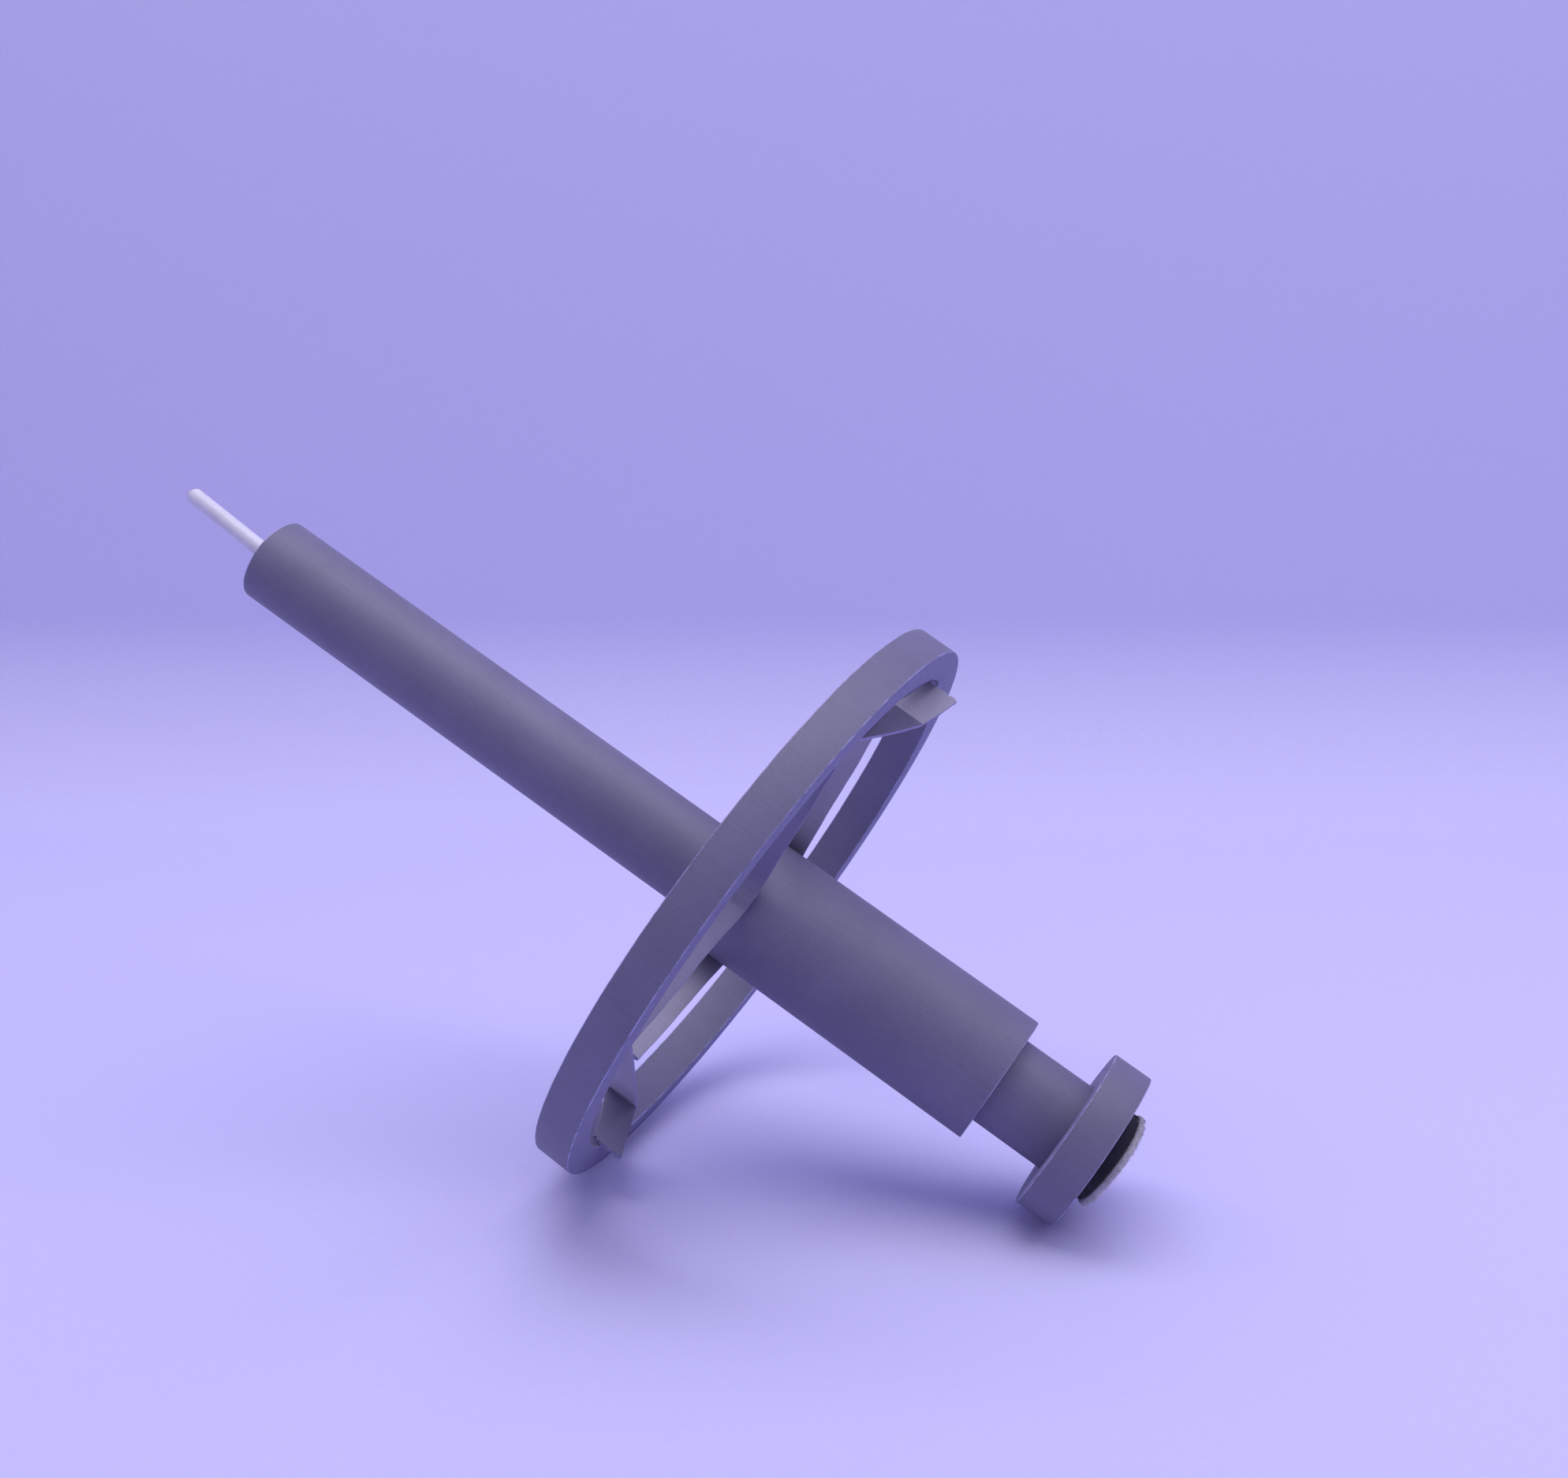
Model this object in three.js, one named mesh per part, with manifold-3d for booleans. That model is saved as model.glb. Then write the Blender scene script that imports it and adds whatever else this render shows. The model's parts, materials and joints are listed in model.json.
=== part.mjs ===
// Drop spindle made from slices and lengths of grey plastic tube, lying at rest on its
// whorl and its base. Millimetres, +Z up.
//
// The spindle is modelled along its own axis first: X runs from the tip (negative) to the
// base (positive), with X = 0 at the whorl's upper face. The whole spindle is then leaned
// over, so that the whorl's rim and the base's rim both touch Z = 0.

import * as THREE from 'three';
import { mergeVertices } from 'three/addons/utils/BufferGeometryUtils.js';
import Module from 'manifold-3d';

const wasm = await Module();
wasm.setup();

// ---- driving dimensions ----

const fitGap = 0.3;

const shaftRadius = 10.25;
const shaftBore = 8.25;
const shaftTop = -135.5;
const baseEnd = 95.3;
const plugLength = 12;

const rodRadius = 2;
const rodTip = -163;
const rodLength = 60;
const rodLean = 2.8;
const rodTipChamfer = 0.6;

const sleeveRadius = 14.77;
const sleeveTop = -4;
const sleeveEnd = 69.6;

const sliceWidth = 8.8;
const baseRadius = 18.76;

const whorlRadius = 70;
const whorlWall = 7.35;
const whorlRise = 0.6;
const whorlRoll = -22.8;
const whorlLean = 1.14;
const whorlYaw = 0.56;

const stripWidth = 7.7;
const stripThickness = 0.9;
const hubSag = 2.9;

const dotRadius = 11.1;
const dotTilt = 5.2;
const dotTwist = 2.6;
const hookDotThickness = 0.6;
const loopDotThickness = 1.7;

const tubeSides = 32;
const whorlSides = 36;
const baseSides = 24;
const rodSides = 16;

// ---- materials ----

const greyPlastic = { color: 0x77757f, roughness: 0.6, metalness: 0 };
const stripPlastic = { color: 0x7c7a85, roughness: 0.55, metalness: 0 };
const whitePlastic = { color: 0xeeedf2, roughness: 0.45, metalness: 0 };
const blackHook = { color: 0x0b0a12, roughness: 0.9, metalness: 0 };
const whiteLoop = { color: 0xdddce4, roughness: 0.95, metalness: 0 };

// ---- helpers ----

const radians = THREE.MathUtils.degToRad;

function mesh(name, geometry, look) {
  const piece = new THREE.Mesh(geometry, new THREE.MeshStandardMaterial(look));
  piece.name = name;
  return piece;
}

// Turns a profile of [x, radius] pairs about the X axis. The flats of the turned solid lie
// at the stated radii, and one flat faces straight down.
function turned(profile, sides) {
  const flatToCorner = 1 / Math.cos(Math.PI / sides);
  const points = profile.map(([x, radius]) => new THREE.Vector2(radius * flatToCorner, x));
  const geometry = new THREE.LatheGeometry(points, sides, Math.PI / sides);
  geometry.rotateZ(-Math.PI / 2);
  return geometry;
}

function tube(from, to, outer, inner, sides) {
  const profile = [[from, inner], [from, outer], [to, outer], [to, inner], [from, inner]];
  return turned(profile, sides);
}

function rod(from, to, radius, sides) {
  return turned([[from, 0], [from, radius], [to, radius], [to, 0]], sides);
}

function toManifold(geometry) {
  const bare = geometry.clone();
  bare.deleteAttribute('normal');
  bare.deleteAttribute('uv');
  const merged = mergeVertices(bare, 1e-4);
  return new wasm.Manifold(new wasm.Mesh({
    numProp: 3,
    vertProperties: Float32Array.from(merged.attributes.position.array),
    triVerts: Uint32Array.from(merged.index.array),
  }));
}

function fromManifold(solid) {
  const { vertProperties, triVerts } = solid.getMesh();
  const geometry = new THREE.BufferGeometry();
  geometry.setAttribute('position', new THREE.BufferAttribute(vertProperties, 3));
  geometry.setIndex(new THREE.BufferAttribute(triVerts, 1));
  geometry.computeVertexNormals();
  return geometry;
}

// A flat strip on edge: its middle line runs through stations in the YZ plane, and at each
// station it reaches along X from station.from to station.to.
function ribbon(stations, thickness) {
  const half = thickness / 2;
  const corners = [];
  stations.forEach((station, i) => {
    const before = stations[Math.max(i - 1, 0)];
    const after = stations[Math.min(i + 1, stations.length - 1)];
    const along1 = new THREE.Vector2(station.y - before.y, station.z - before.z).normalize();
    const along2 = new THREE.Vector2(after.y - station.y, after.z - station.z).normalize();
    const along = along1.clone().add(along2).normalize();
    const stretch = half / Math.max(along.dot(i ? along1 : along2), 0.5);
    const y = -along.y * stretch;
    const z = along.x * stretch;
    corners.push(station.from, station.y - y, station.z - z);
    corners.push(station.to, station.y - y, station.z - z);
    corners.push(station.to, station.y + y, station.z + z);
    corners.push(station.from, station.y + y, station.z + z);
  });
  const faces = [0, 1, 2, 0, 2, 3];
  const last = 4 * (stations.length - 1);
  faces.push(last, last + 2, last + 1, last, last + 3, last + 2);
  for (let i = 0; i < stations.length - 1; i += 1) {
    for (let side = 0; side < 4; side += 1) {
      const a = 4 * i + side;
      const b = 4 * i + (side + 1) % 4;
      faces.push(a, a + 4, b + 4, a, b + 4, b);
    }
  }
  const geometry = new THREE.BufferGeometry();
  geometry.setAttribute('position', new THREE.Float32BufferAttribute(corners, 3));
  geometry.setIndex(faces);
  geometry.computeVertexNormals();
  return geometry;
}

// Stations a quarter of the way apart between two points, sagging along X towards the tip.
function armStations(start, end, sagAtStart, sagAtEnd) {
  const stations = [];
  const steps = 4;
  for (let i = 0; i <= steps; i += 1) {
    const t = i / steps;
    const sag = THREE.MathUtils.lerp(sagAtStart, sagAtEnd, t);
    stations.push({
      y: THREE.MathUtils.lerp(start[0], end[0], t),
      z: THREE.MathUtils.lerp(start[1], end[1], t),
      from: sliceWidth - stripWidth - sag,
      to: sliceWidth - sag,
    });
  }
  return stations;
}

// ---- shaft ----

function shaftPieces() {
  const plugRadius = shaftBore - fitGap;
  const shaft = tube(shaftTop, baseEnd - fitGap, shaftRadius, shaftBore, tubeSides);
  const bottomPlug = rod(baseEnd - plugLength, baseEnd - fitGap, plugRadius, tubeSides);
  const sleeve = tube(sleeveTop, sleeveEnd, sleeveRadius, shaftRadius + fitGap, tubeSides);
  return [
    mesh('shaft_tube', shaft, greyPlastic),
    mesh('bottom_plug', bottomPlug, greyPlastic),
    mesh('lower_sleeve', sleeve, greyPlastic),
  ];
}

// The white rod leans a little in its plug, so both are made about the rod's own line and
// the plug's bore follows it.
function leanRod(geometry) {
  geometry.translate(-shaftTop, 0, 0);
  geometry.rotateY(radians(rodLean));
  geometry.translate(shaftTop, 0, 0);
  geometry.rotateX(radians(whorlRoll));
  return geometry;
}

function rodPieces() {
  const plug = rod(shaftTop + fitGap, shaftTop + plugLength, shaftBore - fitGap, tubeSides);
  const bore = leanRod(rod(shaftTop - 5, shaftTop + plugLength + 5, rodRadius + fitGap, rodSides));
  const boredPlug = fromManifold(toManifold(plug).subtract(toManifold(bore)));
  const tipRod = leanRod(turned([
    [rodTip, 0],
    [rodTip, rodRadius - rodTipChamfer],
    [rodTip + rodTipChamfer, rodRadius],
    [rodTip + rodLength, rodRadius],
    [rodTip + rodLength, 0],
  ], rodSides));
  return [
    mesh('top_plug', boredPlug, greyPlastic),
    mesh('tip_rod', tipRod, whitePlastic),
  ];
}

// ---- base ----

// Two nested slices of tube make the base: the collar fits the shaft and the ring fits the
// collar.
function basePieces() {
  const from = baseEnd - sliceWidth;
  const collar = tube(from, baseEnd, sleeveRadius, shaftRadius + fitGap, tubeSides);
  const ring = tube(from, baseEnd, baseRadius, sleeveRadius + fitGap, baseSides);
  return [
    mesh('base_collar', collar, greyPlastic),
    mesh('base_ring', ring, greyPlastic),
  ];
}

// A black hook dot and a white loop dot under the base. The loop dot has lifted at one
// side, and the hook dot's pile fills the wedge behind it.
function dotPieces() {
  const dots = new THREE.Group();
  dots.position.x = baseEnd;
  dots.rotation.x = radians(whorlRoll);

  const lift = dotRadius * Math.tan(radians(dotTilt));
  const pileTop = fitGap + hookDotThickness + lift;
  const loop = rod(0, loopDotThickness, dotRadius, tubeSides);
  loop.rotateY(radians(dotTwist));
  loop.rotateZ(radians(dotTilt));
  loop.translate(pileTop + fitGap, 0, 0);

  const cutter = rod(0, 2 * pileTop, 2 * dotRadius, baseSides);
  cutter.rotateY(radians(dotTwist));
  cutter.rotateZ(radians(dotTilt));
  cutter.translate(pileTop, 0, 0);
  const pile = rod(fitGap, pileTop + 2 * lift, dotRadius, tubeSides);
  const hook = fromManifold(toManifold(pile).subtract(toManifold(cutter)));

  dots.add(mesh('hook_dot', hook, blackHook));
  dots.add(mesh('loop_dot', loop, whiteLoop));
  return dots;
}

// ---- whorl ----

// In the whorl's frame Z runs along the spokes' long way and -Y is the side that the front
// strip takes.
const wallFace = whorlRadius - whorlWall;
const hubFace = sleeveRadius / Math.cos(Math.PI / tubeSides) + 2 * fitGap + stripThickness / 2;
const rimReach = wallFace - fitGap - stripThickness / 2;

function onRim(angle) {
  return [rimReach * Math.cos(radians(angle)), rimReach * Math.sin(radians(angle))];
}

// The front strip touches the sleeve at one bend, and its arms spread to the near wall.
function frontStrip() {
  const upperBend = [-hubFace - 3.2, 8];
  const lowerBend = [-hubFace - 3.2, -4];
  const hub = [-hubFace, 2];
  const bendSag = 0.9 * hubSag;
  return ribbon([
    ...armStations(onRim(145.5), upperBend, 0, bendSag),
    ...armStations(hub, lowerBend, hubSag, bendSag).filter((station, i) => i % 4 === 0),
    ...armStations(lowerBend, onRim(-151), bendSag, 0).slice(1),
  ], stripThickness);
}

// The back strip goes round the sleeve's far side, and its arms come forward to the braces.
function backStrip() {
  const upperEnd = [-32.4, 42.3];
  const lowerEnd = [-35.4, -35.8];
  const firstAngle = 53;
  const lastAngle = -62;
  const steps = 10;
  const arc = [];
  for (let i = 0; i <= steps; i += 1) {
    const angle = radians(THREE.MathUtils.lerp(firstAngle, lastAngle, i / steps));
    const place = [hubFace * Math.cos(angle), hubFace * Math.sin(angle) - whorlRise];
    arc.push(armStations(place, place, hubSag, hubSag)[0]);
  }
  const arcStart = [arc[0].y, arc[0].z];
  const arcEnd = [arc[steps].y, arc[steps].z];
  return ribbon([
    ...armStations(upperEnd, arcStart, 0, hubSag),
    ...arc.slice(1),
    ...armStations(arcEnd, lowerEnd, hubSag, 0).slice(1),
  ], stripThickness);
}

// Each brace is a strip across one end of the whorl, folded back to the wall. Its last
// stretch, the flap, is torn off at a slant and stands proud of the whorl's lower face.
// The fold is given as [y, z, from, to] and each place on the flap as [share, from, to].
function brace(nearEnd, fold, flapEnd, flap) {
  const start = onRim(nearEnd);
  const end = onRim(flapEnd);
  const stations = [
    { y: start[0], z: start[1], from: 0, to: sliceWidth },
    { y: fold[0], z: fold[1], from: fold[2], to: fold[3] },
  ];
  for (const [t, from, to] of flap) {
    stations.push({
      y: THREE.MathUtils.lerp(fold[0], end[0], t),
      z: THREE.MathUtils.lerp(fold[1], end[1], t),
      from,
      to,
    });
  }
  return ribbon(stations, stripThickness);
}

function whorlPieces() {
  const whorl = new THREE.Group();
  whorl.rotation.set(radians(whorlRoll), radians(whorlLean), radians(whorlYaw));

  const rise = new THREE.Group();
  rise.position.z = whorlRise;
  whorl.add(rise);

  const ring = mesh('whorl_ring', tube(0, sliceWidth, whorlRadius, wallFace, whorlSides), greyPlastic);
  ring.rotation.x = -radians(whorlRoll);
  const upperFold = [-6, 52.6, 4.4, 12.1];
  const upperFlap = [[0.4, 5.2, 12.9], [0.7, 6.6, 13.6], [1, 8.6, 14.1]];
  const lowerFold = [6, -52.9, 0, sliceWidth];
  const lowerFlap = [[0.25, 0, 9.9], [0.5, 0.5, 11.1], [0.8, 5, 12.7], [1, 8.4, 14.1]];
  rise.add(ring);
  rise.add(mesh('front_strip', frontStrip(), stripPlastic));
  rise.add(mesh('back_strip', backStrip(), stripPlastic));
  rise.add(mesh('upper_brace', brace(138, upperFold, 87, upperFlap), stripPlastic));
  rise.add(mesh('lower_brace', brace(-149, lowerFold, -94.5, lowerFlap), stripPlastic));
  return whorl;
}

// ---- spindle at rest ----

// The point of a piece that comes down first when the spindle leans over by this angle.
function lowestPoint(piece, angle) {
  const places = piece.geometry.attributes.position;
  const lowest = new THREE.Vector3(0, 0, Infinity);
  for (let i = 0; i < places.count; i += 1) {
    const point = piece.localToWorld(new THREE.Vector3().fromBufferAttribute(places, i));
    const height = point.z * Math.cos(angle) - point.x * Math.sin(angle);
    if (height < lowest.z * Math.cos(angle) - lowest.x * Math.sin(angle)) lowest.copy(point);
  }
  return lowest;
}

const spindle = new THREE.Group();
spindle.add(...shaftPieces(), ...rodPieces(), ...basePieces(), dotPieces(), whorlPieces());
spindle.updateMatrixWorld(true);

const whorlContact = lowestPoint(spindle.getObjectByName('whorl_ring'), radians(30));
const baseContact = lowestPoint(spindle.getObjectByName('base_ring'), radians(30));
const restAngle = Math.atan2(baseContact.z - whorlContact.z, baseContact.x - whorlContact.x);
spindle.rotation.y = restAngle;

const part = new THREE.Group();
part.add(spindle);
part.updateMatrixWorld(true);
const box = new THREE.Box3().setFromObject(part, true);
const middle = box.getCenter(new THREE.Vector3());
spindle.position.set(-middle.x, -middle.y, -box.min.z);
part.updateMatrixWorld(true);

export default part;
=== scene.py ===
"""A drop spindle at rest on its whorl and its base, with smooth pieces over the CAD frame.

The spindle's own axes are used for the making: X runs from the tip to the base, with X = 0
at the whorl's upper face, and Z leans upright. Sizes are in millimetres until a piece is
placed. The whorl's axes are the same, turned by its roll, lean and yaw. The floor and the
lights are in metres.
"""

import json
import math
import random

import bmesh
import bpy
from mathutils import Matrix, Vector, noise


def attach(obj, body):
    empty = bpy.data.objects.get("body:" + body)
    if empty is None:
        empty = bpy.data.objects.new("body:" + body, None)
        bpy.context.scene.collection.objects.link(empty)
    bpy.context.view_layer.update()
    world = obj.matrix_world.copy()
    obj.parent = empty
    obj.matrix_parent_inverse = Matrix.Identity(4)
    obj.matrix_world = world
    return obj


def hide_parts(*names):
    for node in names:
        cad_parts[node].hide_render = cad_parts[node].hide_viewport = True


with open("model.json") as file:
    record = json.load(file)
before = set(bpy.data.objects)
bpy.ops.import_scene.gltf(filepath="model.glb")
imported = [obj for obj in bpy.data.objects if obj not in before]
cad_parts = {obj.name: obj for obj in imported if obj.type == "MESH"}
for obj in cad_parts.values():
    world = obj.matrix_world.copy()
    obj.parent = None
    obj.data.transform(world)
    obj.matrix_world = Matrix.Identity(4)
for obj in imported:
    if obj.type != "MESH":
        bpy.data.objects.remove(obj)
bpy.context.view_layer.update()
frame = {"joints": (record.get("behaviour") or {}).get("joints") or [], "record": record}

# ---- sizes, in millimetres ----

MM = 0.001

SHAFT_RADIUS = 10.25
SHAFT_BORE = 8.25
SHAFT_TOP = -135.5
BASE_END = 95.3
PLUG_LENGTH = 12.0

ROD_RADIUS = 2.0
ROD_TIP = -163.0
ROD_LENGTH = 60.0
ROD_LEAN = math.radians(2.8)

SLEEVE_RADIUS = 14.77
SLEEVE_TOP = -4.0
SLEEVE_END = 69.6

SLICE_WIDTH = 8.8
BASE_RADIUS = 18.76

WHORL_RADIUS = 70.0
WHORL_WALL = 7.35
WHORL_RISE = 0.6
WHORL_ROLL = math.radians(-22.8)
WHORL_LEAN = math.radians(1.14)
WHORL_YAW = math.radians(0.56)
WHORL_TRIM = 0.04

STRIP_THICKNESS = 0.85
HUB_SAG = 2.9

DOT_RADIUS = 11.1
DOT_TILT = math.radians(5.2)
DOT_TWIST = math.radians(2.6)
HOOK_THICKNESS = 0.6
LOOP_THICKNESS = 1.7

FIT_GAP = 0.15
PIECE_GAP = 0.3
PLUG_RECESS = 0.3

# ---- the spindle's place, worked out from the frame ----


def mount(name):
    return next(m for m in frame["record"]["mounts"] if m["name"] == name)


def joint_axis(name):
    return Vector(next(j for j in frame["joints"] if j["name"] == name)["axis"])


down_axis = -joint_axis("whorl_slide").normalized()
side_axis = Vector((0, 1, 0))
up_axis = down_axis.cross(side_axis).normalized()
shaft_mouth = Vector(mount("shaft_top_face")["pos_m"])
shaft_mouth -= side_axis * (SHAFT_RADIUS + SHAFT_BORE) / 2 * MM

spindle_axes = Matrix((down_axis, side_axis, up_axis)).transposed().to_4x4()
spindle_place = Matrix.Translation(shaft_mouth - down_axis * SHAFT_TOP * MM) @ spindle_axes
spindle_place = spindle_place @ Matrix.Scale(MM, 4)

whorl_turn = (
    Matrix.Rotation(WHORL_ROLL, 4, "X")
    @ Matrix.Rotation(WHORL_LEAN, 4, "Y")
    @ Matrix.Rotation(WHORL_YAW, 4, "Z")
)
whorl_place = spindle_place @ whorl_turn @ Matrix.Translation((0, 0, WHORL_RISE))
base_place = spindle_place @ Matrix.Rotation(WHORL_ROLL, 4, "X")

# ---- making pieces ----


def new_piece(name, mesh, place, body, replaces, materials):
    """Puts a mesh at its place in metres and hands it to the frame."""
    mesh.transform(place)
    mesh.update()
    piece = bpy.data.objects.new(name, mesh)
    bpy.context.scene.collection.objects.link(piece)
    for material in materials:
        mesh.materials.append(material)
    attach(piece, body)
    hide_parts(*replaces)


def finish_mesh(bm, name, sharp_degrees=40):
    bmesh.ops.recalc_face_normals(bm, faces=bm.faces)
    mesh = bpy.data.meshes.new(name)
    bm.to_mesh(mesh)
    bm.free()
    for face in mesh.polygons:
        face.use_smooth = True
    mesh.set_sharp_from_angle(angle=math.radians(sharp_degrees))
    return mesh


# Material indices of a tube's faces. A step smaller than FLAT doesn't count as a slope.
WALL, CUT, CORNER = 0, 1, 2
FLAT = 0.001
TUBE_SIDES = 192


def rounded_profile(start, end, inner, outer, round_off, steps=3):
    """The closed section of a tube with eased corners, as (x, radius) points."""
    corners = [
        (start, outer, math.pi, math.pi / 2),
        (end, outer, math.pi / 2, 0.0),
        (end, inner, 0.0, -math.pi / 2),
        (start, inner, -math.pi / 2, -math.pi),
    ]
    points = []
    for x, radius, from_angle, to_angle in corners:
        centre_x = x + round_off if x == start else x - round_off
        centre_r = radius - round_off if radius == outer else radius + round_off
        for i in range(steps + 1):
            angle = from_angle + (to_angle - from_angle) * i / steps
            points.append(
                (centre_x + round_off * math.cos(angle), centre_r + round_off * math.sin(angle))
            )
    return points


def turned_mesh(name, profile, wobble):
    """Turns a closed (x, radius) section about X. Its faces take the materials for the round
    walls, for the cut ends and for the worn corners between them, whose pale is partly wear and
    partly a painted highlight."""
    bm = bmesh.new()
    rings = []
    for i in range(TUBE_SIDES):
        angle = 2 * math.pi * i / TUBE_SIDES
        ring = []
        for x, radius in profile:
            along, out = wobble(x, angle)
            r = radius + out
            ring.append(bm.verts.new((x + along, r * math.cos(angle), r * math.sin(angle))))
        rings.append(ring)
    count = len(profile)
    for i in range(TUBE_SIDES):
        here, there = rings[i], rings[(i + 1) % TUBE_SIDES]
        for j in range(count):
            k = (j + 1) % count
            face = bm.faces.new((here[j], here[k], there[k], there[j]))
            run = abs(profile[k][0] - profile[j][0])
            rise = abs(profile[k][1] - profile[j][1])
            if min(run, rise) > FLAT:
                face.material_index = CORNER
            else:
                face.material_index = CUT if rise > run else WALL
    return finish_mesh(bm, name)


def saw_wobble(seed, along, across):
    """Hand cut ends: each end face wanders a little along X, and the round is never perfect."""

    def wobble(x, angle):
        place = Vector((math.cos(angle), math.sin(angle), seed))
        slow = noise.noise(place * 1.3 + Vector((0, 0, x * 0.05)))
        fine = noise.noise(place * 9.0 + Vector((0, 0, x * 0.4)))
        return (along * (slow + 0.25 * fine), across * noise.noise(place * 1.1))

    return wobble


# ---- materials ----


class Nodes:
    """Short names for building a node tree."""

    def __init__(self, name):
        self.material = bpy.data.materials.new(name)
        self.material.use_nodes = True
        self.tree = self.material.node_tree
        self.tree.nodes.clear()
        self.out = self.add("ShaderNodeOutputMaterial")
        self.shader = self.add("ShaderNodeBsdfPrincipled")
        self.link(self.shader.outputs["BSDF"], self.out.inputs["Surface"])
        self.coords = self.add("ShaderNodeTexCoord").outputs["Object"]

    def add(self, kind, **inputs):
        node = self.tree.nodes.new(kind)
        for key, value in inputs.items():
            setattr(node, key, value)
        return node

    def link(self, source, target):
        self.tree.links.new(source, target)

    def mapped(self, matrix, stretch=(1, 1, 1)):
        """Object coordinates turned into a piece's own millimetre axes."""
        turn = matrix.inverted()
        mapping = self.add("ShaderNodeMapping")
        mapping.vector_type = "POINT"
        mapping.inputs["Location"].default_value = turn.to_translation()
        mapping.inputs["Rotation"].default_value = turn.to_euler("XYZ")
        mapping.inputs["Scale"].default_value = turn.to_scale()
        self.link(self.coords, mapping.inputs["Vector"])
        widen = self.add("ShaderNodeVectorMath", operation="MULTIPLY")
        self.link(mapping.outputs["Vector"], widen.inputs[0])
        widen.inputs[1].default_value = stretch
        return widen.outputs["Vector"]

    def noise(self, vector, scale, detail=4.0, roughness=0.55, distortion=0.0):
        node = self.add("ShaderNodeTexNoise")
        node.inputs["Scale"].default_value = scale
        node.inputs["Detail"].default_value = detail
        node.inputs["Roughness"].default_value = roughness
        node.inputs["Distortion"].default_value = distortion
        self.link(vector, node.inputs["Vector"])
        return node.outputs["Fac"]

    def ramp(self, factor, stops):
        node = self.add("ShaderNodeValToRGB")
        elements = node.color_ramp.elements
        while len(elements) < len(stops):
            elements.new(0.5)
        for element, (position, colour) in zip(elements, stops):
            element.position = position
            element.color = (*colour, 1.0)
        self.link(factor, node.inputs["Fac"])
        return node.outputs["Color"]

    def between(self, factor, low, high, from_min=0.0, from_max=1.0):
        node = self.add("ShaderNodeMapRange")
        node.inputs["From Min"].default_value = from_min
        node.inputs["From Max"].default_value = from_max
        node.inputs["To Min"].default_value = low
        node.inputs["To Max"].default_value = high
        self.link(factor, node.inputs["Value"])
        return node.outputs["Result"]

    def mix(self, factor, one, other, blend="MIX"):
        """Mixes two colours. The node's inputs 6 and 7 and its output 2 are the colour ones."""
        node = self.add("ShaderNodeMix", data_type="RGBA", blend_type=blend)
        sockets = (node.inputs["Factor"], node.inputs[6], node.inputs[7])
        for socket, value in zip(sockets, (factor, one, other)):
            if isinstance(value, (int, float)):
                socket.default_value = value
            elif isinstance(value, tuple):
                socket.default_value = (*value, 1.0)
            else:
                self.link(value, socket)
        return node.outputs[2]

    def math(self, operation, one, other):
        node = self.add("ShaderNodeMath", operation=operation)
        for socket, value in zip(node.inputs, (one, other)):
            if isinstance(value, (int, float)):
                socket.default_value = value
            else:
                self.link(value, socket)
        return node.outputs[0]

    def bump(self, height, distance, strength):
        node = self.add("ShaderNodeBump")
        node.inputs["Strength"].default_value = strength
        node.inputs["Distance"].default_value = distance
        self.link(height, node.inputs["Height"])
        return node.outputs["Normal"]

    def set(self, **sockets):
        for key, value in sockets.items():
            socket = self.shader.inputs[key.replace("_", " ")]
            if hasattr(value, "links"):
                self.link(value, socket)
            elif isinstance(value, tuple):
                socket.default_value = (*value, 1.0)
            else:
                socket.default_value = value


GREY = (0.172, 0.163, 0.285)
# A painted light tone: the strips' grey plastic made paler where their faces catch more light.
PAINTED_LIGHT_GREY = (0.40, 0.375, 0.50)


def shade(colour, factor):
    return tuple(c * factor for c in colour)


def grey_plastic(name, place, base):
    """Extruded grey pipe: faint draw lines along it, cloudy tone, fine grain and scuffs."""
    n = Nodes(name)
    along = n.mapped(place, (0.03, 1.0, 1.0))
    plain = n.mapped(place)
    cloud = n.noise(plain, 0.045, 5.0, 0.6)
    grain = n.noise(plain, 3.2, 3.0, 0.7)
    draw = n.noise(along, 1.6, 4.0, 0.6)
    colour = n.ramp(cloud, [(0.3, shade(base, 0.88)), (0.7, shade(base, 1.08))])
    streaks = n.ramp(draw, [(0.35, (0.9, 0.9, 0.9)), (0.65, (1.0, 1.0, 1.0))])
    colour = n.mix(0.6, colour, streaks, "MULTIPLY")
    speck = n.ramp(grain, [(0.3, (0.86, 0.86, 0.86)), (0.7, (1.13, 1.13, 1.13))])
    colour = n.mix(0.9, colour, speck, "MULTIPLY")
    scuff = n.noise(n.mapped(place, (0.25, 1.0, 1.0)), 0.35, 8.0, 0.75, 1.5)
    rubbed = n.between(scuff, 0.0, 0.35, 0.62, 0.78)
    colour = n.mix(rubbed, colour, shade(base, 1.5))
    rough = n.between(grain, 0.5, 0.63)
    height = n.math("ADD", n.math("MULTIPLY", grain, 0.6), n.math("MULTIPLY", draw, 0.5))
    n.set(Base_Color=colour, Roughness=rough, Normal=n.bump(height, 0.00004, 0.6))
    n.set(IOR=1.52, Specular_IOR_Level=0.55)
    return n.material


def cut_plastic(name, place, tone):
    """The sawn faces of the same plastic: paler, rougher, with fine saw marks."""
    n = Nodes(name)
    saw = n.noise(n.mapped(place, (1.0, 0.12, 1.0)), 2.2, 5.0, 0.65, 0.4)
    burr = n.noise(n.mapped(place), 5.0, 3.0, 0.7)
    colour = n.ramp(saw, [(0.3, shade(GREY, tone * 0.92)), (0.72, shade(GREY, tone * 1.12))])
    height = n.math("ADD", saw, n.math("MULTIPLY", burr, 0.5))
    n.set(Base_Color=colour, Roughness=0.72, Normal=n.bump(height, 0.00006, 0.7))
    n.set(IOR=1.52, Specular_IOR_Level=0.35)
    return n.material


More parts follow.
